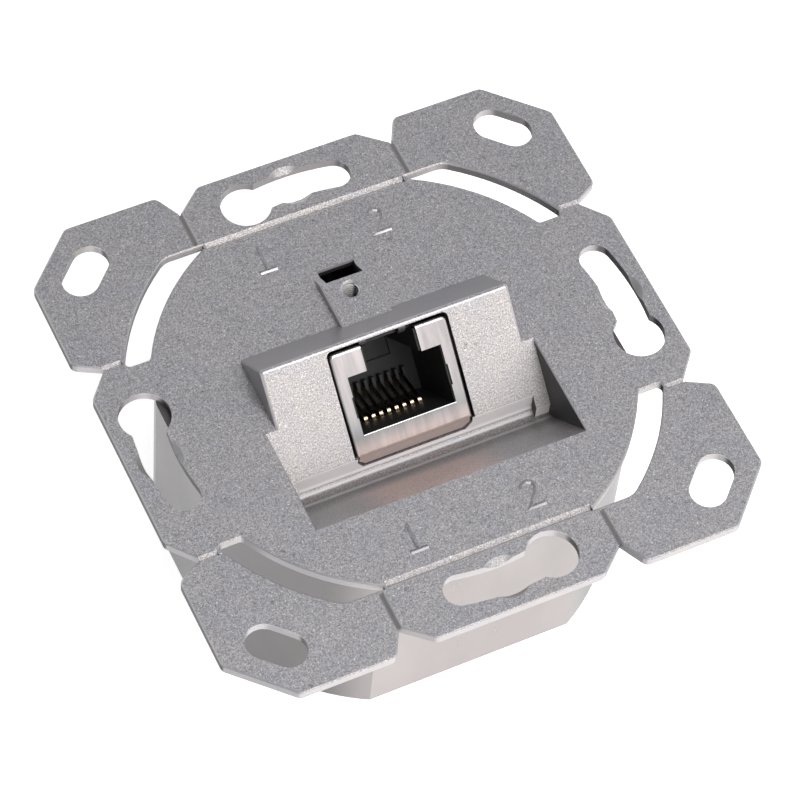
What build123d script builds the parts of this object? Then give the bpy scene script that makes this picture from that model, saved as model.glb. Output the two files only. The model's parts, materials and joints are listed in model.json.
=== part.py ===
from build123d import *
from math import cos, pi, radians, sin, sqrt, tan
import os

# Ethernet socket insert for a round flush wall box, in millimetres.
# Origin: centre of the 60 mm fixing pattern, on the plate's rear face.
# +Z points out of the wall, +Y is up in use, the jack's mouth looks forward and down.

# Fixing pattern and mounting plate
fixing_spacing = 60.0
plate_t = 1.2
ear_reach = 4.5
flange_setback = 0.4
notch_depth = 3.0
notch_across = 14.1
flange_slope_w = 3.5
ear_slope_w = 1.8
ear_cut = 6.7
corner_round = 1.1
edge_break = 0.15

# Round disc and the arc slots between it and the ears
disc_inset = 1.2
arc_slot_w = 3.0
arc_slot_end_inset = 0.9
arc_slot_tip_inset = 0.7
arc_slot_top_round = 2.6
arc_slot_end_round = 0.6

# Break-off grooves
groove_disc_gap = 0.5
groove_disc_depth = 0.5
groove_ear_depth = 0.38
groove_end_gap = 0.25
groove_slot_gap = 0.4

# Keyholes on the fixing circle
keyhole_slot_w = 4.1
keyhole_end_angle = 10.8
keyhole_big_angle = 11.9
keyhole_big_r = 3.15
countersink_r = 2.85
countersink_depth = 0.75

# Oblong holes in the ears
ear_hole_inset = 6.7
ear_hole_w = 4.55
ear_hole_len = 7.5

# Jack, measured in its own tilted plane: X across, V up along the face, N into it
face_angle = 45.0
face_foot_y = -1.7
shield_half_w = 7.57
shield_low_len = 6.45
shield_top_v = 6.27
shield_t = 0.3
shield_len = 17.0
shield_edge_round = 0.35
shield_corner_round = 0.6
fold_round = 0.5
shield_floor_len = 4.0
window_gap = 0.27
window_top_gap = 0.48
window_foot_gap = 0.25
frame_side_w = 1.52
frame_low_w = 2.28
frame_top_w = 3.17
side_nick = 0.18
side_nick_low_v = -2.0
side_nick_high_v = 0.6
latch_half_w = 3.56
latch_top_len = 1.6
lip_drop = 1.9
lip_inset = 0.37
lip_corner = 0.8
lip_gap = 0.3

# Turret with the tilted jack face
turret_half_w = 16.1
turret_top_w = 1.08
turret_roof_run = 5.45
turret_edge_round = 0.45
wall_t = 1.5

# Pocket below the face
pocket_side_gap = 1.25
pocket_floor_run = 7.55
pocket_strip_w = 1.91
foot_recess_h = 3.06
foot_recess_round = 1.0
face_foot_round = 0.35
floor_foot_round = 1.4
end_block_w = 1.85
end_block_drop = 1.65

# Screw boss for the cover, and the slot behind it
cover_screw_gap = 3.55
cover_screw_core_r = 1.05
cover_screw_rim = 0.25
boss_half_w = 3.27
boss_h = 1.1
boss_top_len = 1.85
boss_ramp_len = 1.75
boss_edge_round = 0.25
boss_root_r = 2.6
boss_root_depth = 1.2
prong_w = 0.87
slot_len = 2.65

# Rear housing
housing_inset = 0.5
housing_side_cut = 1.1
housing_end_cut = 3.3
housing_depth = 27.3
housing_wall = 1.2
housing_floor = 1.3
housing_edge_break = 0.35
rim_clearance = 0.15
rim_w = 1.0
rim_depth = 1.6

# Screws that join housing and frame
joint_screw_wall_gap = 1.6
frame_boss_r = 2.6
frame_boss_depth = 9.0
housing_post_r = 3.0
post_gap = 0.2
joint_screw_r = 1.2
joint_screw_head_r = 2.3
joint_screw_top_gap = 4.35
thread_clearance = 0.05
shank_clearance = 0.25
head_sink = 0.15
drive_recess_w = 0.6
drive_recess_depth = 0.7

# Moulded jack body
body_clearance = 0.03
body_overhang = 1.5
cavity_side_gap = 0.1
cavity_depth = 11.7
latch_channel_inset = 0.26
latch_ledge_v = 1.0
latch_ledge_depth = 0.4
contact_slot_w = 0.6
contact_slot_margin = 0.45
contact_slot_floor_len = 4.05
comb_low_h = 1.55
comb_high_h = 3.55
comb_depth = 1.2

# Contacts
contact_count = 8
contact_pitch = 1.016
contact_w = 0.42
contact_t = 0.3
contact_bend_r = 0.4
contact_bend_depth = 5.95
contact_bend_h = 0.4
contact_run_drop = 1.5
contact_tip_gap = 1.0
contact_tip_h = 2.75
contact_row_gap = 2.0
contact_tail_short = 0.1

# Circuit board
board_side_gap = 0.9
board_t = 1.6
board_front_gap = 0.6
board_overhang = 1.9
board_gap = 0.05
board_hole_clearance = 0.1
board_screw_inset = 2.8
board_screw_rear = 6.1
board_screw_r = 0.95
board_screw_len = 5.0
board_screw_head_r = 1.8
board_screw_head_h = 1.2

# Cheeks of the frame that carry the board
cheek_t = 4.4
cheek_front_gap = 2.9
cheek_rear_gap = 0.45
cheek_inset = 0.5

# Insulation displacement terminals
idc_per_block = 4
idc_pitch = 4.2
idc_end_margin = 1.4
idc_block_w = 5.0
idc_floor_gap = 1.45
idc_front_margin = 0.5
idc_rear_margin = 0.7
idc_wire_slot_w = 1.5
idc_slot_floor_h = 3.6
idc_fork_w = 3.0
idc_fork_t = 0.5
idc_fork_root_gap = 1.2
idc_fork_slit = 0.4
idc_fork_base_h = 2.0
idc_tail_w = 0.6
idc_pocket_clearance = 0.05
idc_tip_recess = 1.0

# Cable entry and strap
cable_r = 3.4
cable_entry_clearance = 0.2
cable_floor_gap = 0.2
strap_wall_gap = 9.0
strap_w = 5.0
strap_t = 0.8
strap_clearance = 0.4
strap_screw_gap = 3.0
strap_foot_half = 2.4
strap_boss_r = 2.2
strap_boss_h = 2.4
strap_screw_r = 1.1
strap_screw_len = 3.6
strap_screw_head_r = 2.0
strap_screw_head_h = 1.3

# Plate sizes worked out from the fixing pattern
front_z = plate_t
fixing_r = fixing_spacing / 2
ear_half = fixing_r + ear_reach
flange_half = ear_half - flange_setback
notch_along = flange_half - notch_depth
flange_flat_half = notch_across - flange_slope_w
ear_flat_start = notch_across + ear_slope_w
ear_flat_end = ear_half - ear_cut
ear_hole_centre = ear_half - ear_hole_inset
disc_r = fixing_r - disc_inset
arc_slot_outer_r = disc_r + arc_slot_w
arc_slot_end_y = notch_across - arc_slot_end_inset
arc_slot_tip_x = notch_across - arc_slot_tip_inset

# Housing sizes, held inside the disc
housing_r = disc_r - housing_inset
housing_half_x = housing_r - housing_side_cut
housing_half_y = housing_r - housing_end_cut
groove_disc_y = housing_half_y + groove_disc_gap
arc_slot_top_y = groove_disc_y + groove_slot_gap
joint_screw_x = housing_half_x - housing_wall - joint_screw_wall_gap - housing_post_r
joint_screw_len = housing_depth - joint_screw_top_gap + plate_t
floor_z = -housing_depth + housing_floor
frame_boss_end_z = -frame_boss_depth
cable_z = floor_z + cable_floor_gap + cable_r + cable_entry_clearance
cable_entry_r = cable_r + cable_entry_clearance
strap_y = housing_half_y - strap_wall_gap
strap_screw_x = cable_r + strap_clearance + strap_t + strap_screw_gap

# Jack sizes, from the sheet shield inwards
tilt = radians(face_angle)
shield_bottom_v = -shield_low_len
opening_half_w = shield_half_w - frame_side_w
opening_bottom_v = shield_bottom_v + frame_low_w
opening_top_v = shield_top_v - frame_top_w
lip_half_w = shield_half_w - lip_inset
lip_foot_half_w = lip_half_w - lip_corner
body_len = shield_len + body_overhang
cavity_half_w = opening_half_w - cavity_side_gap
cavity_floor_v = opening_bottom_v - cavity_side_gap
cavity_top_v = opening_top_v + cavity_side_gap
latch_channel_half_w = latch_half_w - latch_channel_inset
contact_bend_v = cavity_floor_v + contact_bend_h
contact_run_v = contact_bend_v - contact_run_drop
contact_tip_v = cavity_floor_v + contact_tip_h
contact_tip_n = cavity_depth - contact_tip_gap
contact_slot_start = contact_bend_depth - contact_slot_margin
contact_slot_floor_end = contact_bend_depth + contact_slot_floor_len
contact_slot_top_v = contact_run_v + contact_slot_margin
board_top_v = shield_bottom_v - board_gap
board_low_v = board_top_v - board_t
board_start_n = shield_floor_len + board_front_gap
board_end_n = body_len + board_overhang
idc_front_n = board_start_n + idc_front_margin + idc_block_w / 2
idc_rear_n = board_end_n - idc_rear_margin - idc_block_w / 2
idc_low_v = (floor_z + idc_floor_gap - front_z) / sin(tilt) + (board_end_n - idc_rear_margin) / tan(tilt)
idc_block_h = board_low_v - idc_low_v
idc_wire_slot_depth = idc_block_h - idc_slot_floor_h
idc_fork_h = idc_block_h - idc_tip_recess - idc_fork_root_gap
idc_fork_slit_depth = idc_fork_h - idc_fork_base_h
contact_tail_n = (idc_front_n + idc_rear_n - contact_row_gap) / 2
contact_slot_end = contact_tail_n + contact_row_gap + 2 * contact_slot_margin
board_screw_n = board_end_n - board_screw_rear

# Turret, pocket and boss sizes, round the jack
turret_face_len = shield_top_v + turret_top_w
turret_roof_foot_y = face_foot_y + turret_face_len * cos(tilt) + turret_roof_run
face_foot_len = shield_low_len + window_foot_gap
end_block_foot_len = face_foot_len + end_block_drop
pocket_depth = face_foot_len * sin(tilt) + foot_recess_h
pocket_floor_foot_y = face_foot_y - face_foot_len * cos(tilt) - pocket_strip_w
pocket_front_y = pocket_floor_foot_y - pocket_floor_run
pocket_half_w = turret_half_w + pocket_side_gap
foot_recess_half_w = pocket_half_w - end_block_w
board_half_w = turret_half_w - board_side_gap
board_screw_x = board_half_w - board_screw_inset
cheek_front_y = face_foot_y + cheek_front_gap
cheek_rear_y = turret_roof_foot_y + cheek_rear_gap
cover_screw_y = turret_roof_foot_y + cover_screw_gap
boss_top_y = cover_screw_y + boss_top_len
boss_ramp_y = boss_top_y + boss_ramp_len
slot_top_y = boss_top_y + slot_len
slot_half_w = boss_half_w - prong_w

# Reach of cutters that pass right through
through = 3 * plate_t
deep_cut = 2 * housing_depth
jack_plane = Plane(
    origin=(0, face_foot_y, front_z),
    x_dir=(1, 0, 0),
    z_dir=(0, -sin(tilt), cos(tilt)),
)


def yz_point(n, v):
    """Row Y and Z of a point n deep behind the jack face and v up along it."""
    y = face_foot_y + v * cos(tilt) + n * sin(tilt)
    z = front_z + v * sin(tilt) - n * cos(tilt)
    return (y, z)


def face_z(y):
    """Height of the tilted face at a given row Y."""
    return front_z + (y - face_foot_y) * tan(tilt)


def slab(points, half_w, centre_x=0.0):
    """Closed outline in the YZ plane, made solid across X."""
    outline = Plane.YZ * make_face(Polyline(*points, close=True))
    solid = extrude(outline, amount=half_w, both=True)
    return Pos(centre_x, 0, 0) * solid


def tilted_box(half_w, low_v, high_v, near_n, far_n, centre_x=0.0):
    """Box square to the jack, from near_n to far_n behind its face."""
    size = (2 * half_w, high_v - low_v, far_n - near_n)
    centre = (centre_x, (low_v + high_v) / 2, -(near_n + far_n) / 2)
    return jack_plane * (Pos(*centre) * Box(*size))


def four_corners(x, y):
    return [(sx * x, sy * y) for sx in (-1, 1) for sy in (-1, 1)]


def plate_outline():
    """Square plate with chamfered ears and notched flanges."""
    half_side = [
        (flange_flat_half, flange_half),
        (notch_across, notch_along),
        (ear_flat_start, ear_half),
        (ear_flat_end, ear_half),
    ]
    quarter = half_side + [(y, x) for x, y in reversed(half_side)]
    points = list(quarter)
    for turn in (1, 2, 3):
        mirrored = quarter if turn == 2 else list(reversed(quarter))
        sx = -1 if turn in (2, 3) else 1
        sy = -1 if turn in (1, 2) else 1
        points += [(sx * x, sy * y) for x, y in mirrored]
    face = make_face(Polyline(*points, close=True))
    mid_reach = (notch_along + flange_half) / 2
    outer = [v for v in face.vertices() if max(abs(v.X), abs(v.Y)) > mid_reach]
    return fillet(outer, corner_round)


def arc_slot():
    """One arc slot, in the upper right quarter."""
    ring = Circle(arc_slot_outer_r) - Circle(disc_r)
    width = ear_half - arc_slot_tip_x
    height = arc_slot_top_y - arc_slot_end_y
    window = Pos(arc_slot_tip_x + width / 2, arc_slot_end_y + height / 2) * Rectangle(width, height)
    slot = ring & window
    top_corner = slot.vertices().sort_by(lambda v: v.X + 4 * v.Y)[-1]
    slot = fillet([top_corner], arc_slot_top_round)
    low_corners = slot.vertices().sort_by(Axis.Y)[:2]
    return fillet(low_corners, arc_slot_end_round)


def keyhole(turn, side):
    """Arc slot on the fixing circle with its big end on one side."""
    half = keyhole_end_angle
    arc = CenterArc((0, 0), fixing_r, turn - half, 2 * half)
    slot = SlotArc(arc, keyhole_slot_w)
    big_angle = radians(turn + side * keyhole_big_angle)
    big = Pos(fixing_r * cos(big_angle), fixing_r * sin(big_angle)) * Circle(keyhole_big_r)
    return slot + big


def ear_hole(sx, sy):
    turn = -45 * sx * sy
    place = Pos(sx * ear_hole_centre, sy * ear_hole_centre) * Rot(0, 0, turn)
    return place * SlotOverall(ear_hole_len, ear_hole_w)


def plate_with_holes():
    slot = arc_slot()
    slots = slot + mirror(slot, Plane.YZ)
    slots += mirror(slots, Plane.XZ)
    plate = extrude(plate_outline() - slots, amount=plate_t)
    plate = chamfer(plate.edges().group_by(Axis.Z)[-1], edge_break)
    cuts = Sketch()
    for turn, side in ((0, -1), (90, 1), (180, -1), (270, 1)):
        cuts += keyhole(turn, side)
    for sx, sy in four_corners(1, 1):
        cuts += ear_hole(sx, sy)
    return plate - Pos(0, 0, -plate_t) * extrude(cuts, amount=through)


def v_groove(length, depth):
    """Cutter for a V-groove along X, centred on the origin in the front face."""
    outline = make_face(Polyline((-depth, 0), (depth, 0), (0, -depth), close=True))
    return extrude(Plane.YZ * outline, amount=length / 2, both=True)


def cut_grooves(plate):
    across = 2 * (arc_slot_tip_x - groove_end_gap)
    for sy in (-1, 1):
        plate -= Pos(0, sy * groove_disc_y, front_z) * v_groove(across, groove_disc_depth)
    low = arc_slot_top_y + groove_end_gap
    high = notch_along + groove_end_gap
    ear_groove = v_groove(high - low, groove_ear_depth)
    middle = (low + high) / 2
    for sx, sy in four_corners(notch_across, middle):
        plate -= Pos(sx, sy, front_z) * Rot(0, 0, 90) * ear_groove
    slot_side_x = sqrt(arc_slot_outer_r ** 2 - arc_slot_end_y ** 2)
    side_groove = v_groove(high - slot_side_x, groove_ear_depth)
    side_middle = (high + slot_side_x) / 2
    for sx, sy in four_corners(side_middle, notch_across):
        plate -= Pos(sx, sy, front_z) * side_groove
    return plate


def cut_countersinks(plate):
    cone = Cone(countersink_r - countersink_depth, countersink_r, countersink_depth)
    for x, y in ((fixing_r, 0), (-fixing_r, 0), (0, fixing_r), (0, -fixing_r)):
        plate -= Pos(x, y, front_z - countersink_depth / 2) * cone
    return plate


def turret_block(half_w, drop):
    """Wedge over the jack, lowered by drop for its hollow inside."""
    foot_y, foot_z = yz_point(0, 0)
    apex_y, apex_z = yz_point(0, turret_face_len)
    points = [
        (foot_y, foot_z - drop),
        (apex_y, apex_z - drop),
        (turret_roof_foot_y, front_z - drop),
    ]
    if drop == 0:
        points.append((turret_roof_foot_y, 0))
        points.append((foot_y, 0))
    return slab(points, half_w)


def rounded_turret():
    block = turret_block(turret_half_w, 0)
    edges = [e for e in block.edges() if (e @ 0.5).Z > front_z + turret_edge_round]
    return fillet(edges, turret_edge_round)


def pocket_shell():
    """Solid under the plate from which the pocket is cut."""
    drop = wall_t / cos(tilt)
    floor_run = pocket_floor_foot_y - pocket_front_y
    slope = floor_run / pocket_depth
    bottom_z = front_z - pocket_depth - wall_t
    back_y = yz_point(0, -face_foot_len)[0] + wall_t
    points = [
        (pocket_front_y - (drop - plate_t) * slope, 0),
        (pocket_front_y - (drop - plate_t) * slope, front_z / 2),
        (face_foot_y + wall_t, front_z / 2),
        (face_foot_y + wall_t, face_z(face_foot_y + wall_t) - drop),
        (back_y, face_z(back_y) - drop),
        (back_y, bottom_z),
        (pocket_floor_foot_y - (drop - wall_t) * slope, bottom_z),
    ]
    return slab(points, pocket_half_w + wall_t)


def pocket_cut():
    """Open space in front of the jack face."""
    foot_y, foot_z = yz_point(0, -end_block_foot_len)
    bottom_z = front_z - pocket_depth
    points = [
        yz_point(0, 0),
        (foot_y, foot_z),
        (foot_y, bottom_z),
        (pocket_floor_foot_y, bottom_z),
        (pocket_front_y, front_z),
        (pocket_front_y, front_z + plate_t),
        (face_foot_y, front_z + plate_t),
    ]
    cut = slab(points, pocket_half_w)
    floor_foot = [e for e in cut.edges() if abs((e @ 0.5).Y - pocket_floor_foot_y) < edge_break
                  and abs((e @ 0.5).Z - bottom_z) < edge_break]
    return fillet(floor_foot, floor_foot_round)


def rolled_corner(corner_v, radius):
    """Arc that rolls the tilted face over into an upright wall, as three points."""
    turn = pi / 2 - tilt
    tangent = radius * tan(turn / 2)
    corner_y, corner_z = yz_point(0, corner_v)
    angle = pi - turn / 2
    middle = (corner_y + radius * (1 + cos(angle)), corner_z - tangent + radius * sin(angle))
    return yz_point(0, corner_v + tangent), middle, (corner_y, corner_z - tangent)


def foot_recess_cut():
    """Upright step along the foot of the jack face, with the face rolled over into it."""
    start, middle, end = rolled_corner(-face_foot_len, face_foot_round)
    top_y = end[0]
    end_y, end_z = yz_point(0, -end_block_foot_len)
    bottom_z = front_z - pocket_depth
    wall = Polyline(end, (top_y, bottom_z), (end_y, bottom_z), (end_y, end_z), start)
    outline = Plane.YZ * make_face([wall, ThreePointArc(start, middle, end)])
    block = extrude(outline, amount=foot_recess_half_w, both=True)
    corner = [e for e in block.edges() if abs((e @ 0.5).Y - top_y) < edge_break
              and abs((e @ 0.5).Z - bottom_z) < edge_break]
    return fillet(corner, foot_recess_round)


def jack_window():
    """Square passage that the jack slides into from the rear."""
    half = shield_half_w + window_gap
    return tilted_box(half, -face_foot_len, shield_top_v + window_top_gap, -wall_t, body_len)


def lip_outline(grow):
    """Outline of the lip under the jack, in X and Z, grown by a gap."""
    corner_z = yz_point(0, shield_bottom_v)[1]
    foot_z = corner_z - lip_drop
    return [
        (-lip_half_w - grow, corner_z + grow),
        (lip_half_w + grow, corner_z + grow),
        (lip_half_w + grow, foot_z + lip_corner),
        (lip_foot_half_w + grow, foot_z - grow),
        (-lip_foot_half_w - grow, foot_z - grow),
        (-lip_half_w - grow, foot_z + lip_corner),
    ]


def lip_solid(grow, front_y, rear_y):
    face = make_face(Polyline(*lip_outline(grow), close=True))
    solid = extrude(Plane.XZ * face, amount=rear_y - front_y)
    return Pos(0, rear_y, 0) * solid


def cover_boss():
    top_z = front_z + boss_h
    points = [
        (turret_roof_foot_y - boss_h, front_z / 2),
        (turret_roof_foot_y - 2 * boss_h, top_z),
        (boss_top_y, top_z),
        (boss_ramp_y, front_z),
        (boss_ramp_y, front_z / 2),
    ]
    block = slab(points, boss_half_w)
    crests = [e for e in block.edges() if abs(abs((e @ 0.5).X) - boss_half_w) < edge_break
              and (e @ 0.5).Z > front_z and (e @ 0.5).Y > turret_roof_foot_y - boss_h]
    return fillet(crests, boss_edge_round)


def cut_cover_slot(frame):
    length = slot_top_y - boss_top_y
    height = 2 * (through + boss_h)
    cut = Box(2 * slot_half_w, length, height)
    return frame - Pos(0, (slot_top_y + boss_top_y) / 2, front_z) * cut


def cut_cover_screw(frame):
    top_z = front_z + boss_h
    low_z = -boss_root_depth
    height = top_z - low_z
    hole = Pos(0, cover_screw_y, (top_z + low_z) / 2) * Cylinder(cover_screw_core_r, 2 * height)
    rim_r = cover_screw_core_r + cover_screw_rim
    rim_z = top_z - cover_screw_rim / 2
    rim = Pos(0, cover_screw_y, rim_z) * Cone(cover_screw_core_r, rim_r, cover_screw_rim)
    return frame - hole - rim


def housing_outline(shrink):
    flat = Rectangle(2 * (housing_half_x - shrink), 2 * (housing_half_y - shrink))
    return Circle(housing_r - shrink) & flat


def locating_rim():
    outer = housing_outline(housing_wall + rim_clearance)
    inner = housing_outline(housing_wall + rim_clearance + rim_w)
    ring = outer - inner
    return Pos(0, 0, -rim_depth) * extrude(ring, amount=rim_depth)


def frame_bosses():
    bosses = Part()
    for side in (-1, 1):
        boss = Cylinder(frame_boss_r, frame_boss_depth)
        bosses += Pos(side * joint_screw_x, 0, -frame_boss_depth / 2) * boss
    return bosses


def board_plane_z(y):
    """Height of the board's jack side at a given row Y."""
    start_y, start_z = yz_point(0, board_top_v + board_gap)
    return start_z - (y - start_y) / tan(tilt)


def cheek(side):
    """Rib of the frame that the board is screwed to."""
    apex_y, apex_z = yz_point(0, turret_face_len)
    points = [
        (cheek_front_y, board_plane_z(cheek_front_y)),
        (cheek_front_y, face_z(cheek_front_y) - cheek_inset),
        (apex_y, apex_z - cheek_inset),
        (turret_roof_foot_y - cheek_inset, front_z / 2),
        (cheek_rear_y, front_z / 2),
        (cheek_rear_y, board_plane_z(cheek_rear_y)),
    ]
    return slab(points, cheek_t / 2, side * board_screw_x)


def board_screw_hole(side):
    r = board_screw_r + thread_clearance
    depth = board_screw_len
    centre = Pos(side * board_screw_x, board_top_v, -board_screw_n)
    return jack_plane * (centre * Rot(90, 0, 0) * Cylinder(r, 2 * depth))


def make_mounting_frame():
    frame = cut_grooves(plate_with_holes())
    frame = cut_countersinks(frame)
    frame += rounded_turret()
    frame += pocket_shell()
    frame += cover_boss()
    frame += Pos(0, cover_screw_y, -boss_root_depth / 2) * Cylinder(boss_root_r, boss_root_depth)
    frame -= turret_block(turret_half_w - wall_t, wall_t / cos(tilt))
    frame += locating_rim()
    frame += frame_bosses()
    for side in (-1, 1):
        frame += cheek(side)
    frame -= pocket_cut()
    frame -= foot_recess_cut()
    frame -= jack_window()
    recess_y = yz_point(0, -face_foot_len)[0]
    frame -= lip_solid(lip_gap, recess_y - wall_t, recess_y + wall_t / 2)
    frame = cut_cover_slot(frame)
    frame = cut_cover_screw(frame)
    for side in (-1, 1):
        hole = Cylinder(joint_screw_r + thread_clearance, 2 * (frame_boss_depth - plate_t))
        frame -= Pos(side * joint_screw_x, 0, -frame_boss_depth) * hole
        frame -= board_screw_hole(side)
    rims = [e for e in frame.edges() if abs(abs((e @ 0.5).X) - pocket_half_w) < edge_break / 2
            and abs((e @ 0).Z - front_z) < edge_break / 2 and abs((e @ 1).Z - front_z) < edge_break / 2]
    return chamfer(rims, edge_break)


def housing_screw_cut(x):
    hole = Pos(x, 0, -housing_depth / 2) * Cylinder(joint_screw_r + shank_clearance, deep_cut)
    head_h = joint_screw_head_r - joint_screw_r + head_sink
    low_r = joint_screw_head_r + head_sink
    cone = Cone(low_r, low_r - head_h, head_h)
    return hole + Pos(x, 0, -housing_depth + head_h / 2) * cone


def make_rear_housing():
    shell = Pos(0, 0, -housing_depth) * extrude(housing_outline(0), amount=housing_depth)
    low_edges = shell.edges().group_by(Axis.Z)[0]
    shell = chamfer(low_edges, housing_edge_break)
    room = Pos(0, 0, floor_z) * extrude(housing_outline(housing_wall), amount=housing_depth)
    shell -= room
    post_top_z = frame_boss_end_z - post_gap
    post_h = post_top_z + housing_depth - housing_floor / 2
    for side in (-1, 1):
        post = Cylinder(housing_post_r, post_h)
        shell += Pos(side * joint_screw_x, 0, post_top_z - post_h / 2) * post
        shell -= housing_screw_cut(side * joint_screw_x)
        boss = Cylinder(strap_boss_r, strap_boss_h)
        shell += Pos(side * strap_screw_x, strap_y, floor_z + strap_boss_h / 2) * boss
        hole = Cylinder(strap_screw_r + thread_clearance, 2 * (strap_screw_len - strap_t))
        shell -= Pos(side * strap_screw_x, strap_y, floor_z + strap_boss_h) * hole
    entry = Pos(0, housing_half_y, cable_z) * Rot(90, 0, 0) * Cylinder(cable_entry_r, 4 * housing_wall)
    return shell - entry


def opening_profile(half_w, nick):
    """Opening of the shield's front, with the nick in its side edges."""
    opening = tilted_box(half_w, opening_bottom_v, opening_top_v, -shield_t, 2 * shield_t)
    wide = tilted_box(half_w + nick, side_nick_low_v, side_nick_high_v, -shield_t, 2 * shield_t)
    return opening + wide


def round_top(block, high_v, radius):
    """Round the two upper edges that run along the jack."""
    edges = []
    for e in block.edges():
        start, end = (jack_plane.to_local_coords(e @ t) for t in (0, 1))
        runs_in = abs(start.Z - end.Z) > shield_len / 2
        if runs_in and min(start.Y, end.Y) > high_v - edge_break:
            edges.append(e)
    return fillet(edges, radius)


def make_jack_shield():
    outer = tilted_box(shield_half_w, shield_bottom_v, shield_top_v, 0, shield_len)
    outer = round_top(outer, shield_top_v, shield_corner_round)
    front_edges = [e for e in outer.edges() if abs(jack_plane.to_local_coords(e @ 0.5).Z) < shield_t / 2
                   and jack_plane.to_local_coords(e @ 0.5).Y > shield_bottom_v + shield_t]
    outer = fillet(front_edges, shield_edge_round)
    inner = tilted_box(
        shield_half_w - shield_t,
        shield_bottom_v + shield_t,
        shield_top_v - shield_t,
        shield_t,
        2 * shield_len,
    )
    inner = round_top(inner, shield_top_v - shield_t, shield_corner_round - shield_t)
    shield = outer - inner
    shield -= opening_profile(opening_half_w, side_nick)
    above = shield_top_v + shield_t
    shield -= tilted_box(latch_half_w, opening_top_v - shield_t, above, -shield_t, latch_top_len)
    below = shield_bottom_v - shield_t
    inner_half = shield_half_w - shield_t
    shield -= tilted_box(inner_half, below, shield_bottom_v + shield_t, shield_floor_len, 2 * shield_len)
    corner = yz_point(0, shield_bottom_v)
    shield += lip_solid(0, corner[0], corner[0] + shield_t)
    start, middle, end = rolled_corner(shield_bottom_v, fold_round)
    sliver = make_face([Polyline(start, corner, end), ThreePointArc(end, middle, start)])
    return shield - extrude(Plane.YZ * sliver, amount=lip_half_w, both=True)


def contact_x(index):
    return (index - (contact_count - 1) / 2) * contact_pitch


def tail_n(index):
    return contact_tail_n + contact_row_gap * (index % 2)


def make_jack_body():
    inset = shield_t + body_clearance
    half = shield_half_w - inset
    low_v = shield_bottom_v + inset
    high_v = shield_top_v - inset
    body = round_top(tilted_box(half, low_v, high_v, inset, body_len), high_v, shield_corner_round - inset)
    body -= tilted_box(cavity_half_w, cavity_floor_v, cavity_top_v, 0, cavity_depth)
    above = shield_top_v
    body -= tilted_box(latch_channel_half_w, 0, above, 0, cavity_depth)
    ledge_end = cavity_depth + latch_ledge_depth
    body -= tilted_box(latch_channel_half_w, latch_ledge_v, above, 0, ledge_end)
    for index in range(contact_count):
        x = contact_x(index)
        half_slot = contact_slot_w / 2
        below = shield_bottom_v
        body -= tilted_box(half_slot, below, contact_slot_top_v, contact_slot_start, contact_slot_end, x)
        body -= tilted_box(half_slot, below, cavity_floor_v + shield_t, contact_slot_start,
                           contact_slot_floor_end, x)
    comb_start = cavity_depth - comb_depth
    low = cavity_floor_v + comb_low_h
    high = cavity_floor_v + comb_high_h
    rib_half = (contact_pitch - contact_slot_w) / 2
    for index in range(contact_count + 1):
        x = contact_x(index) - contact_pitch / 2
        body += tilted_box(rib_half, low, high, comb_start, cavity_depth + comb_depth / 4, x)
    return body


def make_contact(index):
    """Spring wire: board pin, run under the cavity floor, bend, and sprung arm."""
    pin_n = tail_n(index)
    points = [
        (0, board_low_v + contact_tail_short, -pin_n),
        (0, contact_run_v, -pin_n),
        (0, contact_run_v, -contact_bend_depth),
        (0, contact_bend_v, -contact_bend_depth),
        (0, contact_tip_v, -contact_tip_n),
    ]
    path = FilletPolyline(*points, radius=contact_bend_r)
    section = Plane(origin=points[0], x_dir=(1, 0, 0), z_dir=(0, 1, 0)) * Rectangle(contact_w, contact_t)
    wire = sweep(section, path=path)
    return jack_plane * (Pos(contact_x(index), 0, 0) * wire)


def idc_x(index):
    return (index % idc_per_block - (idc_per_block - 1) / 2) * idc_pitch


def idc_n(index):
    return idc_front_n if index < idc_per_block else idc_rear_n


def make_circuit_board():
    board = tilted_box(board_half_w, board_low_v, board_top_v, board_start_n, board_end_n)
    low = board_low_v - board_t
    high = board_top_v + board_t
    for index in range(contact_count):
        half = contact_w / 2 + board_hole_clearance
        n = tail_n(index)
        board -= tilted_box(half, low, high, n - half, n + half, contact_x(index))
    for index in range(2 * idc_per_block):
        half = idc_tail_w / 2 + board_hole_clearance
        n = idc_n(index)
        board -= tilted_box(half, low, high, n - half, n + half, idc_x(index))
    for side in (-1, 1):
        centre = Pos(side * board_screw_x, board_top_v, -board_screw_n)
        hole = Cylinder(board_screw_r + shank_clearance, 4 * board_t)
        board -= jack_plane * (centre * Rot(90, 0, 0) * hole)
    return board


def make_idc_block(centre_n):
    half_len = (idc_per_block - 1) * idc_pitch / 2 + idc_fork_w / 2 + idc_end_margin
    low_v = board_low_v - idc_block_h
    near_n = centre_n - idc_block_w / 2
    far_n = centre_n + idc_block_w / 2
    block = tilted_box(half_len, low_v, board_low_v, near_n, far_n)
    pocket_half_t = idc_fork_t / 2 + idc_pocket_clearance
    for index in range(idc_per_block):
        x = idc_x(index)
        slot_top_v = low_v + idc_wire_slot_depth
        block -= tilted_box(idc_wire_slot_w / 2, low_v - 1, slot_top_v, near_n - 1, far_n + 1, x)
        pocket_half_w = idc_fork_w / 2 + idc_pocket_clearance
        block -= tilted_box(pocket_half_w, low_v - 1, board_low_v + 1, centre_n - pocket_half_t,
                            centre_n + pocket_half_t, x)
    return block


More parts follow.
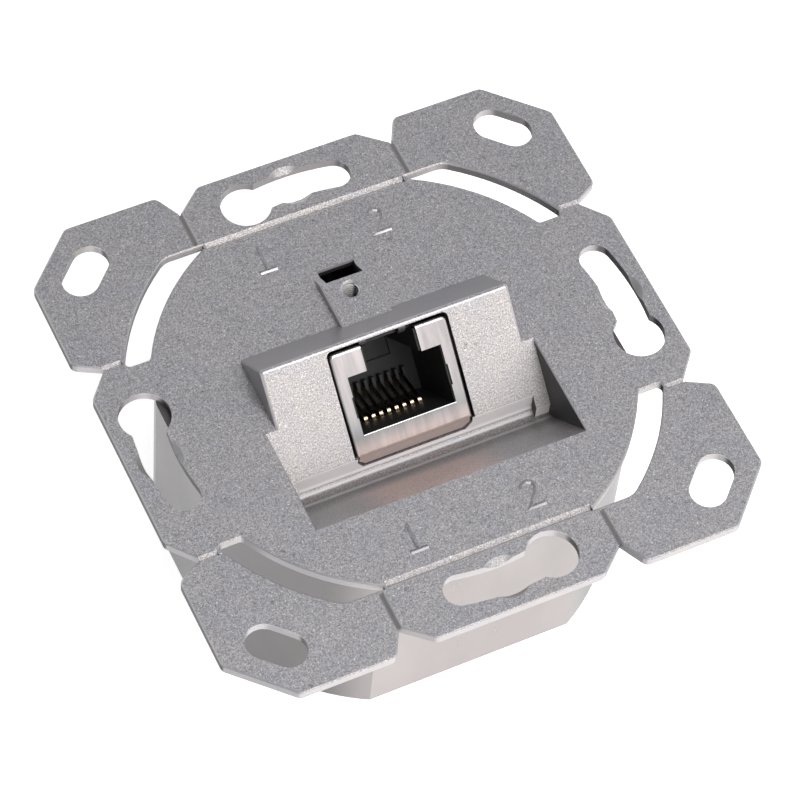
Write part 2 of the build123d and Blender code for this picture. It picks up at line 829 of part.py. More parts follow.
def make_idc_contact(index):
    """Slotted fork in its block, with a pin through the board."""
    x = idc_x(index)
    n = idc_n(index)
    near_n = n - idc_fork_t / 2
    far_n = n + idc_fork_t / 2
    tip_v = board_low_v - idc_block_h + idc_tip_recess
    root_v = tip_v + idc_fork_h
    fork = tilted_box(idc_fork_w / 2, tip_v, root_v, near_n, far_n, x)
    fork -= tilted_box(idc_fork_slit / 2, tip_v - 1, tip_v + idc_fork_slit_depth, near_n - 1, far_n + 1, x)
    pin_top_v = board_top_v - contact_tail_short
    fork += tilted_box(idc_tail_w / 2, root_v - idc_tail_w, pin_top_v, near_n, far_n, x)
    return fork


def make_cable_clamp():
    """Strap over the cable, with a foot on each side."""
    inner_r = cable_r + strap_clearance
    outer_r = inner_r + strap_t
    foot_z = floor_z + strap_boss_h
    arch = Circle(outer_r) - Circle(inner_r)
    low_cut = foot_z - cable_z
    keep = Pos(0, low_cut + outer_r) * Rectangle(2 * outer_r, 2 * outer_r)
    arch = arch & keep
    foot_x = sqrt(inner_r ** 2 - low_cut ** 2)
    foot_end = strap_screw_x + strap_foot_half
    foot_len = foot_end - foot_x
    feet = Sketch()
    for side in (-1, 1):
        feet += Pos(side * (foot_x + foot_len / 2), low_cut + strap_t / 2) * Rectangle(foot_len, strap_t)
    profile = arch + (feet - Circle(inner_r))
    plane = Plane(origin=(0, strap_y - strap_w / 2, cable_z), x_dir=(-1, 0, 0), z_dir=(0, 1, 0))
    strap = extrude(plane * profile, amount=strap_w)
    for side in (-1, 1):
        hole = Cylinder(strap_screw_r + shank_clearance, 4 * strap_t)
        strap -= Pos(side * strap_screw_x, strap_y, foot_z) * hole
    return strap


def pan_screw(shank_r, shank_len, head_r, head_h):
    """Screw with its head's underside at the origin and its shank along -Z."""
    screw = Pos(0, 0, -shank_len / 2) * Cylinder(shank_r, shank_len)
    head = Pos(0, 0, head_h / 2) * Cylinder(head_r, head_h)
    head -= Pos(0, 0, head_h) * Box(2 * head_r, drive_recess_w, head_h)
    return screw + head


def make_clamp_screws():
    screw = pan_screw(strap_screw_r, strap_screw_len, strap_screw_head_r, strap_screw_head_h)
    z = floor_z + strap_boss_h + strap_t
    return Compound([Pos(side * strap_screw_x, strap_y, z) * screw for side in (-1, 1)])


def make_board_screws():
    screw = pan_screw(board_screw_r, board_screw_len, board_screw_head_r, board_screw_head_h)
    places = [Pos(side * board_screw_x, board_low_v, -board_screw_n) for side in (-1, 1)]
    return Compound([jack_plane * (place * Rot(90, 0, 0) * screw) for place in places])


def make_housing_screws():
    """Countersunk screws, heads flush in the housing's rear face."""
    head_h = joint_screw_head_r - joint_screw_r
    screw = Pos(0, 0, joint_screw_len / 2) * Cylinder(joint_screw_r, joint_screw_len)
    screw += Pos(0, 0, head_h / 2) * Cone(joint_screw_head_r, joint_screw_r, head_h)
    for turn in (0, 90):
        cross = Box(joint_screw_head_r + joint_screw_r / 2, drive_recess_w, 2 * drive_recess_depth)
        screw -= Rot(0, 0, turn) * cross
    z = -housing_depth + head_sink
    return Compound([Pos(side * joint_screw_x, 0, z) * screw for side in (-1, 1)])


def build_all():
    parts = {
        "mounting_frame": make_mounting_frame(),
        "rear_housing": make_rear_housing(),
        "jack_shield": make_jack_shield(),
        "jack_body": make_jack_body(),
        "circuit_board": make_circuit_board(),
        "idc_block_front": make_idc_block(idc_front_n),
        "idc_block_rear": make_idc_block(idc_rear_n),
        "cable_clamp": make_cable_clamp(),
        "clamp_screws": make_clamp_screws(),
        "board_screws": make_board_screws(),
        "housing_screws": make_housing_screws(),
    }
    for index in range(contact_count):
        parts[f"contact_{index + 1}"] = make_contact(index)
    for index in range(2 * idc_per_block):
        parts[f"idc_contact_{index + 1}"] = make_idc_contact(index)
    return parts


os.makedirs("parts", exist_ok=True)
for name, solid in build_all().items():
    export_step(solid, f"parts/{name}.step")
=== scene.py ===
import json
import math
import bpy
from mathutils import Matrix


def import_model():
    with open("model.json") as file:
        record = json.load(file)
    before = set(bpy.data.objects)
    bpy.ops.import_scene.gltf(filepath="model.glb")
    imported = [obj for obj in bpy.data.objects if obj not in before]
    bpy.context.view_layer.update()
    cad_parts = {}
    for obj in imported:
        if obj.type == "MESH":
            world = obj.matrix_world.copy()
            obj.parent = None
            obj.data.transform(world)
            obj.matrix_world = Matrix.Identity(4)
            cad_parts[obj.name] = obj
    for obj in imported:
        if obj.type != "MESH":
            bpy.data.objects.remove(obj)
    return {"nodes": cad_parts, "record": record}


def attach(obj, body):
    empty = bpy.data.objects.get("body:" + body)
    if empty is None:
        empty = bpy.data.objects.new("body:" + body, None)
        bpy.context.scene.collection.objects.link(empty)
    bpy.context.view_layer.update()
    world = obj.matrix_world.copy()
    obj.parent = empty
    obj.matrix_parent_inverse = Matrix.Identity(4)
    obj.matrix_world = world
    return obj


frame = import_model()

from types import SimpleNamespace

import bmesh
import bpy
from mathutils import Matrix, Vector

nodes = frame["nodes"]
mounts = {mount["name"]: mount for mount in frame["record"]["mounts"]}
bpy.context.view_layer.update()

# Places and sizes on the part, in metres and in the frame of the model
FRONT_Z = 0.0012
FACE_FOOT_Y = -0.0017
SHIELD_LOW_Z = -0.0036
SHIELD_RISE = 0.0088
OPENING_HALF_W = 0.00605
OPENING_FOOT_V = -0.0042
WINDOW_HALF_W = 0.00784
WINDOW_TOP_V = 0.00675

# Where the colour of a piece changes: limits of a band, or start and end of a fade
POCKET_Z = (FRONT_Z, FRONT_Z - 0.0002)
DEEP_Z = (0.0, -0.0004)
SLOPE_Y = (-0.0165, -0.0077)
SLOPE_FADE = 0.0005
SLOPE_FOOT_Z = (-0.0032, -0.0058)
# Patch of the slope that carries a painted warm reflection
REFLECTION_LEFT_X = (-0.0115, -0.006)
REFLECTION_RIGHT_X = (0.009, 0.003)
REFLECTION_Z = (-0.0062, -0.0036)
SLOT_Y = (0.0145, 0.0188)
SLOT_FADE = 0.0003
SLOT_SIDE_X = (0.0042, 0.004)
SLOT_SHADE_Z = (0.00085, 0.0006)
INNER_DEPTH = (0.0007, 0.0016)
INNER_FOOT_Z = (-0.0032, -0.0026)
CONTACT_BEND_Y = (0.0006, -0.0002)

# Sizes of the small pieces made here
OVERLAP = 0.00002
EDGE_R = 0.0001
CORNER_R = 0.0007
CORNER_DEPTH = 0.0006
THREAD_PITCH = 0.00045
THREAD_DEPTH = 0.00011
THREAD_Z = (-0.0012, 0.0020)
THREAD_SIDES = 32
SPRING_X = (-0.0030, 0.0021)
SPRING_HALF_W = 0.00045
SPRING_T = 0.00022
NUMBER_X = 0.0076
NUMBER_Y = 0.0211
NUMBER_STROKE = 0.0006
NUMBER_RISE = 0.00016

# Floor with its backdrop
FLOOR_Z = -0.02735
FLOOR_GLOW = 0.78
STAGE_HUB_R = 0.4
STAGE_R = 1.7
STAGE_BEND = 0.4
STAGE_H = 0.8

# Camera, fitted to the photo
CAMERA_PLACE = (-0.1230527, -0.2112792, 0.3700005)
CAMERA_RIGHT = (0.90322606, -0.42502331, 0.05948001)
CAMERA_UP = (0.32773724, 0.77258194, 0.54378805)
CAMERA_BACK = (-0.27707578, -0.47166973, 0.83711211)
CAMERA_LENS = 168.9653


# Shader nodes
def rgba(value):
    """Four channels of a colour or of a grey level."""
    return (*value, 1.0) if isinstance(value, tuple) else (value, value, value, 1.0)


class Look:
    """A material and short calls that add its nodes."""

    def __init__(self, name):
        self.material = bpy.data.materials.new(name)
        self.material.use_nodes = True
        self.tree = self.material.node_tree
        self.tree.nodes.clear()
        out = self.tree.nodes.new("ShaderNodeOutputMaterial")
        self.bsdf = self.tree.nodes.new("ShaderNodeBsdfPrincipled")
        self.link(self.bsdf.outputs[0], out.inputs["Surface"])
        coord = self.tree.nodes.new("ShaderNodeTexCoord")
        self.place = coord.outputs["Object"]
        self.normal = coord.outputs["Normal"]

    def link(self, output, socket):
        """Join an output to an input."""
        self.tree.links.new(output, socket)

    def feed(self, socket, value):
        """Link a socket to another one, or set its constant value."""
        if isinstance(value, bpy.types.NodeSocket):
            self.link(value, socket)
        elif socket.type == "RGBA":
            socket.default_value = rgba(value)
        else:
            socket.default_value = value

    def noise(self, scale, detail, rough, stretch=None):
        """Noise in the part's own space, drawn out along axes where stretch is below 1."""
        vector = self.place
        if stretch:
            mapping = self.tree.nodes.new("ShaderNodeMapping")
            mapping.inputs["Scale"].default_value = stretch
            self.link(vector, mapping.inputs["Vector"])
            vector = mapping.outputs[0]
        texture = self.tree.nodes.new("ShaderNodeTexNoise")
        texture.inputs["Scale"].default_value = scale
        texture.inputs["Detail"].default_value = detail
        texture.inputs["Roughness"].default_value = rough
        self.link(vector, texture.inputs["Vector"])
        return texture.outputs["Fac"]

    def ramp(self, fac, stops):
        """Colours or grey levels at given positions of a factor."""
        ramp = self.tree.nodes.new("ShaderNodeValToRGB")
        elements = ramp.color_ramp.elements
        while len(elements) < len(stops):
            elements.new(0.5)
        for element, (position, value) in zip(elements, stops):
            element.position = position
            element.color = rgba(value)
        self.link(fac, ramp.inputs[0])
        return ramp.outputs[0]

    def mix(self, fac, a, b, mode="MIX"):
        """Colour a where the factor is 0 and b where it is 1."""
        node = self.tree.nodes.new("ShaderNodeMix")
        node.data_type = "RGBA"
        node.blend_type = mode
        self.feed(node.inputs[0], fac)
        self.feed(node.inputs[6], a)
        self.feed(node.inputs[7], b)
        return node.outputs[2]

    def math(self, operation, a, b=0.0):
        """Result of a math node with the given operation."""
        node = self.tree.nodes.new("ShaderNodeMath")
        node.operation = operation
        self.feed(node.inputs[0], a)
        self.feed(node.inputs[1], b)
        return node.outputs[0]

    def times(self, first, *others):
        """Product of two or more factors."""
        for other in others:
            first = self.math("MULTIPLY", first, other)
        return first

    def span(self, value, low, high, out_low=0.0, out_high=1.0):
        """Smooth step of a value, from out_low at low to out_high at high."""
        node = self.tree.nodes.new("ShaderNodeMapRange")
        node.interpolation_type = "SMOOTHSTEP"
        for socket, fed in zip(node.inputs, (value, low, high, out_low, out_high)):
            self.feed(socket, fed)
        return node.outputs[0]

    def band(self, value, limits, fade):
        """1 between two limits, with a fade inside each of them."""
        low, high = limits
        return self.times(self.span(value, low, low + fade), self.span(value, high, high - fade))

    def axis(self, vector, name):
        """One coordinate of a place or a normal."""
        split = self.tree.nodes.new("ShaderNodeSeparateXYZ")
        self.link(vector, split.inputs[0])
        return split.outputs[name]

    def turned(self, axis, low, high):
        """1 where the surface is turned towards an axis as far as high, 0 at low."""
        return self.span(self.axis(self.normal, axis), low, high)

    def bump(self, height, strength, distance, under=None):
        """Normals for a small relief, on top of another one where under is given."""
        node = self.tree.nodes.new("ShaderNodeBump")
        node.inputs["Distance"].default_value = distance
        self.feed(node.inputs["Strength"], strength)
        self.link(height, node.inputs["Height"])
        if under:
            self.link(under, node.inputs["Normal"])
        return node.outputs[0]

    def finish(self, **inputs):
        """Feed the surface, with input names written with _ for a space."""
        for name, value in inputs.items():
            self.feed(self.bsdf.inputs[name.replace("_", " ")], value)
        return self.material


# Materials
def cast_masks(look):
    """Factors for the parts of the casting that look different."""
    x, y, z = (look.axis(look.place, name) for name in "XYZ")
    at = SimpleNamespace()
    at.plate = look.turned("Z", 0.93, 0.99)
    at.face = look.times(look.turned("Y", -0.6, -0.68), look.turned("Z", 0.6, 0.68))
    at.front = look.turned("Y", -0.75, -0.95)
    at.side = look.span(look.math("ABSOLUTE", look.axis(look.normal, "X")), 0.8, 0.95)
    at.pocket = look.span(z, *POCKET_Z)
    at.deep = look.span(z, *DEEP_Z)
    slope = look.times(at.pocket, look.band(y, SLOPE_Y, SLOPE_FADE), look.turned("Y", 0.5, 0.65))
    at.grainy = look.math("MAXIMUM", look.math("MAXIMUM", at.plate, at.face), look.times(slope, 0.6))
    slot = look.times(look.band(y, SLOT_Y, SLOT_FADE), look.span(look.math("ABSOLUTE", x), *SLOT_SIDE_X))
    at.slot_wall = look.times(slot, look.span(z, *SLOT_SHADE_Z), at.front)
    at.warm = look.times(slope, look.span(x, *REFLECTION_LEFT_X), look.span(x, *REFLECTION_RIGHT_X),
                         look.span(z, *REFLECTION_Z))
    at.slope_foot = look.times(slope, look.span(z, *SLOPE_FOOT_Z), 0.6)
    return at


def cast_colour(look, at):
    """Colour of the casting below its grain, part by part, with painted light on the faces turned to -Y,
    painted shade on the sides, in the pocket, in the slot and at the foot of the slope, and a painted
    warm reflection on the slope.
    """
    # Below the level of the plate the colour is painted darker, as painted shade in the pocket.
    base = look.mix(at.pocket, (0.50, 0.495, 0.505), (0.385, 0.38, 0.385))
    base = look.mix(at.plate, base, look.mix(at.pocket, (0.46, 0.455, 0.47), (0.21, 0.20, 0.20)))
    base = look.mix(at.face, base, (0.52, 0.505, 0.50))
    # Faces turned to -Y are painted lighter, deep in the pocket most of all: painted light from the
    # front.
    base = look.mix(at.front, base, look.mix(at.deep, (0.68, 0.66, 0.65), (1.0, 0.97, 0.965)))
    # Sides turned along X are painted dark, near black in the pocket: painted shade.
    base = look.mix(at.side, base, look.mix(at.pocket, (0.36, 0.355, 0.36), 0.075))
    # The front wall inside the slot is painted near black: painted shade.
    base = look.mix(at.slot_wall, base, 0.05)
    # A warm patch on the slope below the jack: painted reflection of light from the shield.
    base = look.mix(at.warm, base, (0.64, 0.54, 0.51))
    # The foot of the slope is painted darker: painted shade at the bottom of the pocket.
    base = look.mix(at.slope_foot, base, 0.18)
    broad = look.noise(230.0, 3.0, 0.55)
    tint = look.mix(look.span(broad, 0.3, 0.7), (0.97, 0.97, 1.0), (1.03, 1.02, 1.01))
    return look.mix(1.0, base, tint, "MULTIPLY")


def cast_metal(name, level=1.0):
    """Zinc casting: grain with pits and painted glints on the plate and the face, smooth where the
    slides ran, and painted darker as painted shade where level is below 1.
    """
    look = Look(name)
    at = cast_masks(look)
    fine = look.noise(6200.0, 2.0, 0.7)
    coarse = look.noise(1700.0, 3.0, 0.6)
    pits = look.span(look.noise(1300.0, 1.0, 0.5), 0.70, 0.76)
    painted_glint_spots = look.span(look.noise(3300.0, 1.0, 0.5), 0.66, 0.74)
    base = cast_colour(look, at)
    marks = look.mix(look.times(pits, 0.4), base, (0.14, 0.14, 0.15))
    # Sparse near-white spots are painted glints, fainter in the pocket as painted shade.
    painted_glint = look.times(painted_glint_spots, look.span(at.pocket, 0.0, 1.0, 0.55, 0.12))
    marks = look.mix(painted_glint, marks, (0.98, 0.98, 1.0))
    base = look.mix(1.0, look.mix(at.grainy, base, marks), level, "MULTIPLY")
    speck = look.ramp(fine, [(0.3, 0.42), (0.5, 0.97), (0.7, 1.65)])
    grain = look.mix(0.85, base, look.mix(1.0, base, speck, "MULTIPLY"))
    rough = look.ramp(coarse, [(0.3, 0.42), (0.7, 0.58)])
    rough = look.mix(at.grainy, look.mix(at.pocket, 0.3, 0.5), rough)
    metal = look.math("SUBTRACT", 0.7, look.times(at.front, look.span(at.deep, 0.0, 1.0, 0.35, 0.6)))
    strength = look.span(at.grainy, 0.0, 1.0, 0.1, 0.5)
    normal = look.bump(fine, strength, 0.00002, look.bump(coarse, strength, 0.00005))
    colour = look.mix(at.grainy, base, grain)
    return look.finish(Base_Color=colour, Metallic=metal, Roughness=rough, Normal=normal)


def cast_smooth():
    """The rear housing: same alloy, as it came from a polished die, with every wall not turned to -Y
    painted darker as painted shade.
    """
    look = Look("housing_metal")
    flow = look.noise(90.0, 4.0, 0.6, stretch=(1.0, 1.0, 0.35))
    fine = look.noise(3000.0, 2.0, 0.6)
    base = look.mix(look.span(flow, 0.3, 0.7), (0.40, 0.37, 0.365), (0.46, 0.43, 0.425))
    # Walls turned away from the front are painted darker: painted shade.
    darker = look.mix(1.0, base, (0.42, 0.43, 0.44), "MULTIPLY")
    base = look.mix(look.turned("Y", -0.75, -0.95), darker, base)
    rough = look.ramp(flow, [(0.3, 0.26), (0.7, 0.36)])
    normal = look.bump(fine, 0.12, 0.00003)
    return look.finish(Base_Color=base, Metallic=0.7, Roughness=rough, Normal=normal)


def nickel():
    """Nickel-plated sheet: brushed grain, painted shade below the opening and inside, a painted warm
    reflection and painted light at the fold, and a painted highlight on the top edges.
    """
    look = Look("nickel_sheet")
    y, z = look.axis(look.place, "Y"), look.axis(look.place, "Z")
    lip = look.turned("Y", -0.8, -0.95)
    crest_highlight = look.turned("Z", 0.8, 0.97)
    brushed = look.noise(900.0, 3.0, 0.6, stretch=(1.0, 0.12, 0.12))
    cloud = look.noise(260.0, 3.0, 0.6)
    height = look.times(look.math("SUBTRACT", z, SHIELD_LOW_Z), 1 / SHIELD_RISE)
    # Colour up the face from the fold: a painted warm reflection low down, painted shade just below the
    # opening, lighter above.
    base = look.ramp(height, [(0.0, (0.54, 0.46, 0.435)), (0.09, (0.49, 0.42, 0.40)),
                              (0.19, (0.28, 0.285, 0.29)), (0.28, (0.33, 0.33, 0.335)),
                              (0.45, (0.43, 0.415, 0.415)), (1.0, (0.50, 0.47, 0.47))])
    streak = look.mix(look.span(brushed, 0.35, 0.65), (0.86, 0.86, 0.87), (1.1, 1.1, 1.1))
    base = look.mix(1.0, base, streak, "MULTIPLY")
    base = look.mix(look.times(cloud, 0.2), base, (0.72, 0.68, 0.66))
    # Faces turned up are painted near white: painted highlight on the top edges.
    base = look.mix(crest_highlight, base, (0.98, 0.97, 0.96))
    # The lip turned to -Y is painted light and pink: painted light with a painted warm reflection.
    base = look.mix(lip, base, (0.74, 0.61, 0.57))
    # Inside the shield the sheet is painted near black: painted shade.
    depth = look.math("SUBTRACT", look.math("SUBTRACT", y, z), FACE_FOOT_Y - FRONT_Z)
    inner_shade = look.times(look.span(depth, *INNER_DEPTH), look.span(z, *INNER_FOOT_Z))
    base = look.mix(inner_shade, base, 0.04)
    rough = look.ramp(brushed, [(0.3, 0.26), (0.7, 0.38)])
    metal = look.math("SUBTRACT", 1.0, look.times(lip, 0.4))
    normal = look.bump(brushed, 0.1, 0.00002)
    return look.finish(Base_Color=base, Metallic=metal, Roughness=rough, Normal=normal)


def black_plastic():
    """Moulded body of the jack, with a faint cloud in its gloss."""
    look = Look("black_plastic")
    cloud = look.noise(500.0, 3.0, 0.6)
    fine = look.noise(4200.0, 2.0, 0.5)
    base = look.mix(look.span(cloud, 0.3, 0.7), (0.010, 0.010, 0.011), (0.018, 0.018, 0.019))
    rough = look.ramp(cloud, [(0.3, 0.42), (0.7, 0.6)])
    return look.finish(Base_Color=base, Roughness=rough, Normal=look.bump(fine, 0.2, 0.00002))


def gold():
    """Thin gold on spring wire, paler on the bend at the mouth: wear there, with a painted highlight."""
    look = Look("gold_contact")
    streak = look.noise(2500.0, 2.0, 0.5, stretch=(1.0, 0.2, 0.2))
    bend = look.span(look.axis(look.place, "Y"), *CONTACT_BEND_Y)
    wire = look.mix(look.span(streak, 0.3, 0.7), (0.36, 0.23, 0.13), (0.46, 0.31, 0.18))
    worn_and_highlit = look.mix(look.span(streak, 0.3, 0.7), (0.56, 0.41, 0.26), (0.66, 0.51, 0.36))
    rough = look.ramp(streak, [(0.3, 0.16), (0.7, 0.3)])
    normal = look.bump(streak, 0.1, 0.00001)
    return look.finish(Base_Color=look.mix(bend, wire, worn_and_highlit), Metallic=1.0, Roughness=rough,
                       Normal=normal)


def laminate():
    """Green lacquer of the board, with the weave of its glass cloth."""
    look = Look("board_laminate")
    weave = look.noise(1800.0, 2.0, 0.5, stretch=(1.0, 0.5, 0.5))
    base = look.mix(look.span(weave, 0.3, 0.7), (0.010, 0.085, 0.03), (0.016, 0.13, 0.045))
    rough = look.ramp(weave, [(0.3, 0.26), (0.7, 0.38)])
    return look.finish(Base_Color=base, Roughness=rough, Normal=look.bump(weave, 0.12, 0.00002))


def terminal_plastic():
    """Pale moulding of the terminal blocks."""
    look = Look("terminal_plastic")
    fine = look.noise(3000.0, 2.0, 0.5)
    cloud = look.noise(300.0, 2.0, 0.5)
    base = look.mix(look.span(cloud, 0.3, 0.7), (0.62, 0.62, 0.58), (0.7, 0.7, 0.66))
    rough = look.ramp(cloud, [(0.3, 0.42), (0.7, 0.55)])
    return look.finish(Base_Color=base, Roughness=rough, Normal=look.bump(fine, 0.15, 0.00002))


def plated(name, low, high, rough_low, rough_high):
    """Plated metal whose colour and gloss drift between two values."""
    look = Look(name)
    cloud = look.noise(400.0, 3.0, 0.6)
    fine = look.noise(2600.0, 2.0, 0.6)
    base = look.mix(look.span(cloud, 0.3, 0.7), low, high)
    rough = look.ramp(cloud, [(0.3, rough_low), (0.7, rough_high)])
    normal = look.bump(fine, 0.12, 0.00002)
    return look.finish(Base_Color=base, Metallic=1.0, Roughness=rough, Normal=normal)


def cut_metal():
    """Metal of the cut thread: painted bright as painted light, and painted dark as painted shade where
    the wall of the hole faces -X.
    """
    look = Look("cut_thread")
    rings = look.noise(2600.0, 2.0, 0.6, stretch=(0.3, 0.3, 1.0))
    bright = look.mix(look.span(rings, 0.3, 0.7), (0.86, 0.86, 0.87), (0.98, 0.98, 0.98))
    # Painted light on the wall, painted shade where it faces -X.
    base = look.mix(look.turned("X", -0.7, -0.5), (0.06, 0.06, 0.065), bright)
    rough = look.ramp(rings, [(0.3, 0.26), (0.7, 0.36)])
    normal = look.bump(rings, 0.1, 0.00002)
    return look.finish(Base_Color=base, Metallic=0.5, Roughness=rough, Normal=normal)


def dress(name, material):
    """Put one material in every slot of a solid."""
    mesh = nodes[name].data
    if not mesh.materials:
        mesh.materials.append(material)
    for k in range(len(mesh.materials)):
        mesh.materials[k] = material


METAL = cast_metal("die_cast_metal")
# The raised numbers take the casting at a lower level: painted shade that tones them down.
RAISED_SHADED = cast_metal("raised_cast_shaded", 0.72)
GOLD = gold()
TERMINAL = terminal_plastic()
THREAD = cut_metal()
TIN = plated("tin_contact", (0.62, 0.62, 0.60), (0.74, 0.74, 0.71), 0.24, 0.36)
DULL = plated("dull_nickel", (0.16, 0.15, 0.15), (0.26, 0.25, 0.25), 0.4, 0.55)
# Pale metal for the edge of the plug opening: a painted highlight.
HIGHLIGHT_EDGE = plated("painted_highlight_edge", (0.70, 0.69, 0.69), (0.80, 0.79, 0.79), 0.24, 0.34)
ZINC = plated("zinc_steel", (0.52, 0.53, 0.54), (0.64, 0.65, 0.66), 0.26, 0.4)

dress("mounting_frame", METAL)
dress("rear_housing", cast_smooth())
dress("jack_shield", nickel())
dress("jack_body", black_plastic())
dress("circuit_board", laminate())
for name in ("idc_block_front", "idc_block_rear"):
    dress(name, TERMINAL)
for name in ("cable_clamp", "clamp_screws", "board_screws", "housing_screws"):
    dress(name, ZINC)
for k in range(1, 9):
    dress(f"contact_{k}", GOLD)
    dress(f"idc_contact_{k}", TIN)


# Small pieces that the solids leave out
def add(name, bm, material):
    """Turn a finished mesh into a piece of the part."""
    bmesh.ops.recalc_face_normals(bm, faces=bm.faces)
    mesh = bpy.data.meshes.new(name)
    bm.to_mesh(mesh)
    bm.free()
    mesh.materials.append(material)
    ob = bpy.data.objects.new(name, mesh)
    bpy.context.collection.objects.link(ob)
    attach(ob, "root")


def sweep(bm, rings):
    """Closed skin over a row of equal outlines, with a cap on each end."""
    rows = [[bm.verts.new(point) for point in ring] for ring in rings]
    for a, b in zip(rows, rows[1:]):
        for k in range(len(a)):
            bm.faces.new((a[k - 1], a[k], b[k], b[k - 1]))
    bm.faces.new(rows[0])
    bm.faces.new(list(reversed(rows[-1])))


def jack_point(x, v, n):
    """Place of a point given in the jack's own plane: across, up the face and into it."""
    half = math.sqrt(0.5)
    return (x, FACE_FOOT_Y + (v + n) * half, FRONT_Z + (v - n) * half)


def cover_thread():
    """Triangular ridge that winds up inside the hole for the cover screw."""
    screw = mounts["cover_screw"]
    radius = screw["dims"]["r_mm"] / 1000
    low, high = THREAD_Z
    turns = (high - low) / THREAD_PITCH
    steps = int(turns * THREAD_SIDES)
    rings = []
    for k in range(steps + 1):
        angle = 2 * math.pi * turns * k / steps
        rise = low + (high - low) * k / steps
        ring = []
        for reach, lift in ((OVERLAP, -0.5), (-THREAD_DEPTH, 0.0), (OVERLAP, 0.5)):
            x = screw["pos_m"][0] + (radius + reach) * math.cos(angle)
            y = screw["pos_m"][1] + (radius + reach) * math.sin(angle)
            ring.append((x, y, min(max(rise + lift * THREAD_PITCH, low), high)))
        rings.append(ring)
    bm = bmesh.new()
    sweep(bm, rings)
    add("cover_thread", bm, THREAD)


def stroke(bm, points, centre):
    """Raised bar with sloping sides along a line of points, mitred where the line turns."""
    profile = ((-0.5, -0.3), (-0.5, 0.0), (-0.12, 1.0), (0.12, 1.0), (0.5, 0.0), (0.5, -0.3))
    points = [Vector(point) for point in points]
    last = len(points) - 1
    rings = []
    for k, here in enumerate(points):
        way_in = (here - points[max(k - 1, 0)]).normalized()
        way_out = (points[min(k + 1, last)] - here).normalized()
        along = (way_in + way_out).normalized()
        spread = 1.0 if k in (0, last) else 1.0 / max(along.dot(way_in), 0.5)
        side = Vector((-along.y, along.x)) * spread
        ring = []
        for reach, lift in profile:
            x, y = here + Vector(centre) + side * reach * NUMBER_STROKE
            ring.append((x, y, FRONT_Z + lift * NUMBER_RISE))
        rings.append(ring)
    sweep(bm, rings)


def raised_numbers():
    """Plain numbers cast on the disc beside the upper and lower keyholes, in the casting painted darker
    as painted shade.
    """
    one = [[(-0.00055, 0.0010), (0.0, 0.0017), (0.0, -0.0017)],
           [(-0.0011, -0.0017), (0.0011, -0.0017)]]
    two = [[(-0.0009, 0.0009), (-0.00065, 0.0014), (0.0, 0.0017), (0.00065, 0.0014),
            (0.0009, 0.0009), (0.0006, 0.0002), (-0.0009, -0.0017), (0.0010, -0.0017)]]
    bm = bmesh.new()
    for y in (-NUMBER_Y, NUMBER_Y):
        for digit, x in ((one, -NUMBER_X), (two, NUMBER_X)):
            for points in digit:
                stroke(bm, points, (x, y))
    add("raised_numbers", bm, RAISED_SHADED)


def latch_springs():
    """Two small tongues of the shield at the top of the latch opening."""
    line = ((0.00665, 0.0004), (0.0064, 0.0005), (0.0061, 0.0007), (0.0058, 0.0011))
    bm = bmesh.new()
    for x in SPRING_X:
        rings = []
        for v, n in line:
            ring = []
            for across, deep in ((-1, 0), (1, 0), (1, 1), (-1, 1)):
                ring.append(jack_point(x + across * SPRING_HALF_W, v, n + deep * SPRING_T))
            rings.append(ring)
        sweep(bm, rings)
    add("latch_springs", bm, DULL)


def opening_edge():
    """Rounded edge of the sheet along the foot of the plug opening, in pale metal as a painted
    highlight.
    """
    rings = []
    for x in (-OPENING_HALF_W, OPENING_HALF_W):
        ring = []
        for k in range(9):
            angle = math.pi * k / 8
            v = OPENING_FOOT_V + EDGE_R * math.cos(angle)
            ring.append(jack_point(x, v, -EDGE_R * math.sin(angle)))
        rings.append(ring)
    bm = bmesh.new()
    sweep(bm, rings)
    add("opening_edge", bm, HIGHLIGHT_EDGE)


def window_corners():
    """Small fillets that round the two upper corners of the window round the jack."""
    outline = [(WINDOW_HALF_W + OVERLAP, WINDOW_TOP_V + OVERLAP)]
    for k in range(7):
        angle = math.pi / 2 * k / 6
        x = WINDOW_HALF_W - CORNER_R + CORNER_R * math.sin(angle)
        v = WINDOW_TOP_V - CORNER_R + CORNER_R * math.cos(angle)
        outline.append((x, v))
    bm = bmesh.new()
    for side in (-1, 1):
        sweep(bm, [[jack_point(side * x, v, n) for x, v in outline] for n in (OVERLAP, CORNER_DEPTH)])
    add("window_corners", bm, METAL)


cover_thread()
raised_numbers()
latch_springs()
opening_edge()
window_corners()


# Floor, light and camera
def lathe(name, profile, steps):
    """Surface of revolution about Z from points of radius and height, closed at the first one."""
    bm = bmesh.new()
    turns = [2 * math.pi * k / steps for k in range(steps)]
    rows = [[bm.verts.new((r * math.cos(a), r * math.sin(a), z)) for a in turns] for r, z in profile]
    for low, high in zip(rows, rows[1:]):
        for k in range(steps):
            bm.faces.new((low[k], low[k - 1], high[k - 1], high[k]))
    bm.faces.new(rows[0])
    mesh = bpy.data.meshes.new(name)
    bm.to_mesh(mesh)
    bm.free()
    for poly in mesh.polygons:
        poly.use_smooth = True
    ob = bpy.data.objects.new(name, mesh)
    bpy.context.collection.objects.link(ob)
    return ob


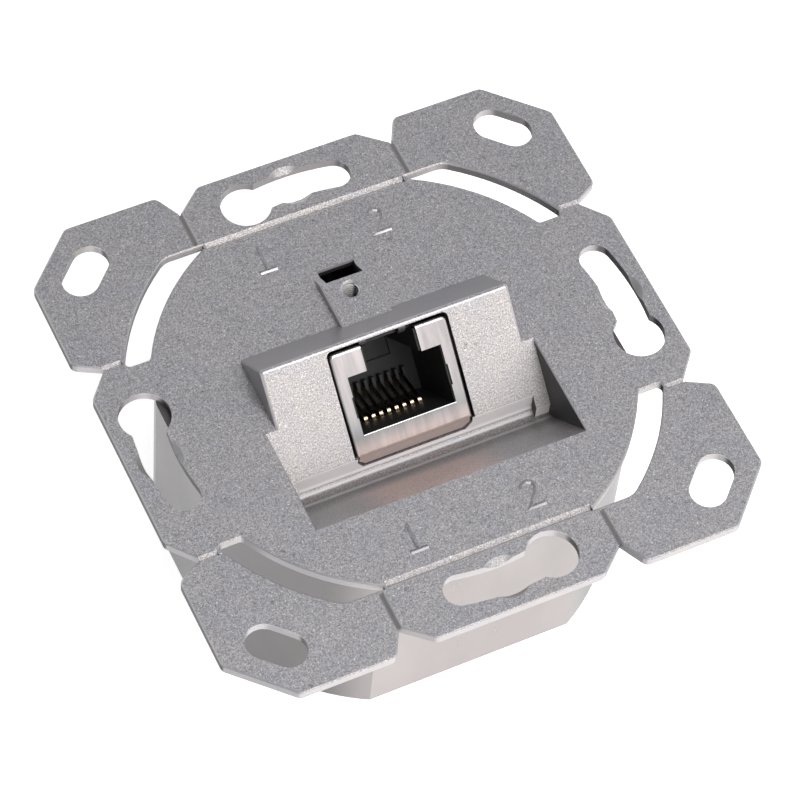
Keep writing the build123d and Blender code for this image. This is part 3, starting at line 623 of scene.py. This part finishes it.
def floor():
    """Round floor that curves up into a low backdrop, white to the camera and in reflections."""
    bend = [(STAGE_R + STAGE_BEND * math.sin(a), FLOOR_Z + STAGE_BEND * (1 - math.cos(a)))
            for a in (math.pi / 2 * k / 8 for k in range(9))]
    ob = lathe("floor", [(STAGE_HUB_R, FLOOR_Z), *bend, (bend[-1][0], FLOOR_Z + STAGE_H)], 64)
    look = Look("floor")
    path = look.tree.nodes.new("ShaderNodeLightPath")
    seen = look.math("MAXIMUM", path.outputs["Is Camera Ray"], path.outputs["Is Glossy Ray"])
    seen = look.math("MAXIMUM", seen, path.outputs["Is Transmission Ray"])
    glow = look.times(seen, FLOOR_GLOW)
    material = look.finish(Base_Color=0.82, Roughness=0.9, Emission_Color=1.0, Emission_Strength=glow)
    ob.data.materials.append(material)


def area(name, place, size, power, colour=(1.0, 1.0, 1.0)):
    """Soft lamp that points at the origin."""
    light = bpy.data.lights.new(name, "AREA")
    light.shape = "RECTANGLE"
    light.size, light.size_y = size
    light.energy = power
    light.color = colour
    ob = bpy.data.objects.new(name, light)
    bpy.context.collection.objects.link(ob)
    ob.location = place
    ob.rotation_euler = (-Vector(place)).to_track_quat("-Z", "Y").to_euler()


def world(level, colour):
    """Even light from all round."""
    studio = bpy.data.worlds.new("studio")
    studio.use_nodes = True
    bpy.context.scene.world = studio
    back = studio.node_tree.nodes["Background"]
    back.inputs["Color"].default_value = rgba(colour)
    back.inputs["Strength"].default_value = level


def camera():
    """Camera at the photo's place and angle."""
    cam = bpy.data.cameras.new("camera")
    cam.sensor_width = 36.0
    cam.lens = CAMERA_LENS
    cam.clip_start = 0.01
    ob = bpy.data.objects.new("camera", cam)
    bpy.context.collection.objects.link(ob)
    turn = Matrix((CAMERA_RIGHT, CAMERA_UP, CAMERA_BACK)).transposed().to_4x4()
    ob.matrix_world = Matrix.Translation(CAMERA_PLACE) @ turn
    bpy.context.scene.camera = ob


floor()
camera()
world(0.26, (0.96, 0.975, 1.0))
area("key", (0.2, -0.62, 0.6), (1.5, 1.1), 5.0, (1.0, 0.965, 0.955))
area("front", (0.13, -0.42, 0.76), (0.5, 0.35), 3.0, (1.0, 0.975, 0.965))
area("top", (0.12, 0.02, 0.8), (0.2, 0.2), 0.9)

bpy.context.scene.view_settings.view_transform = "Standard"
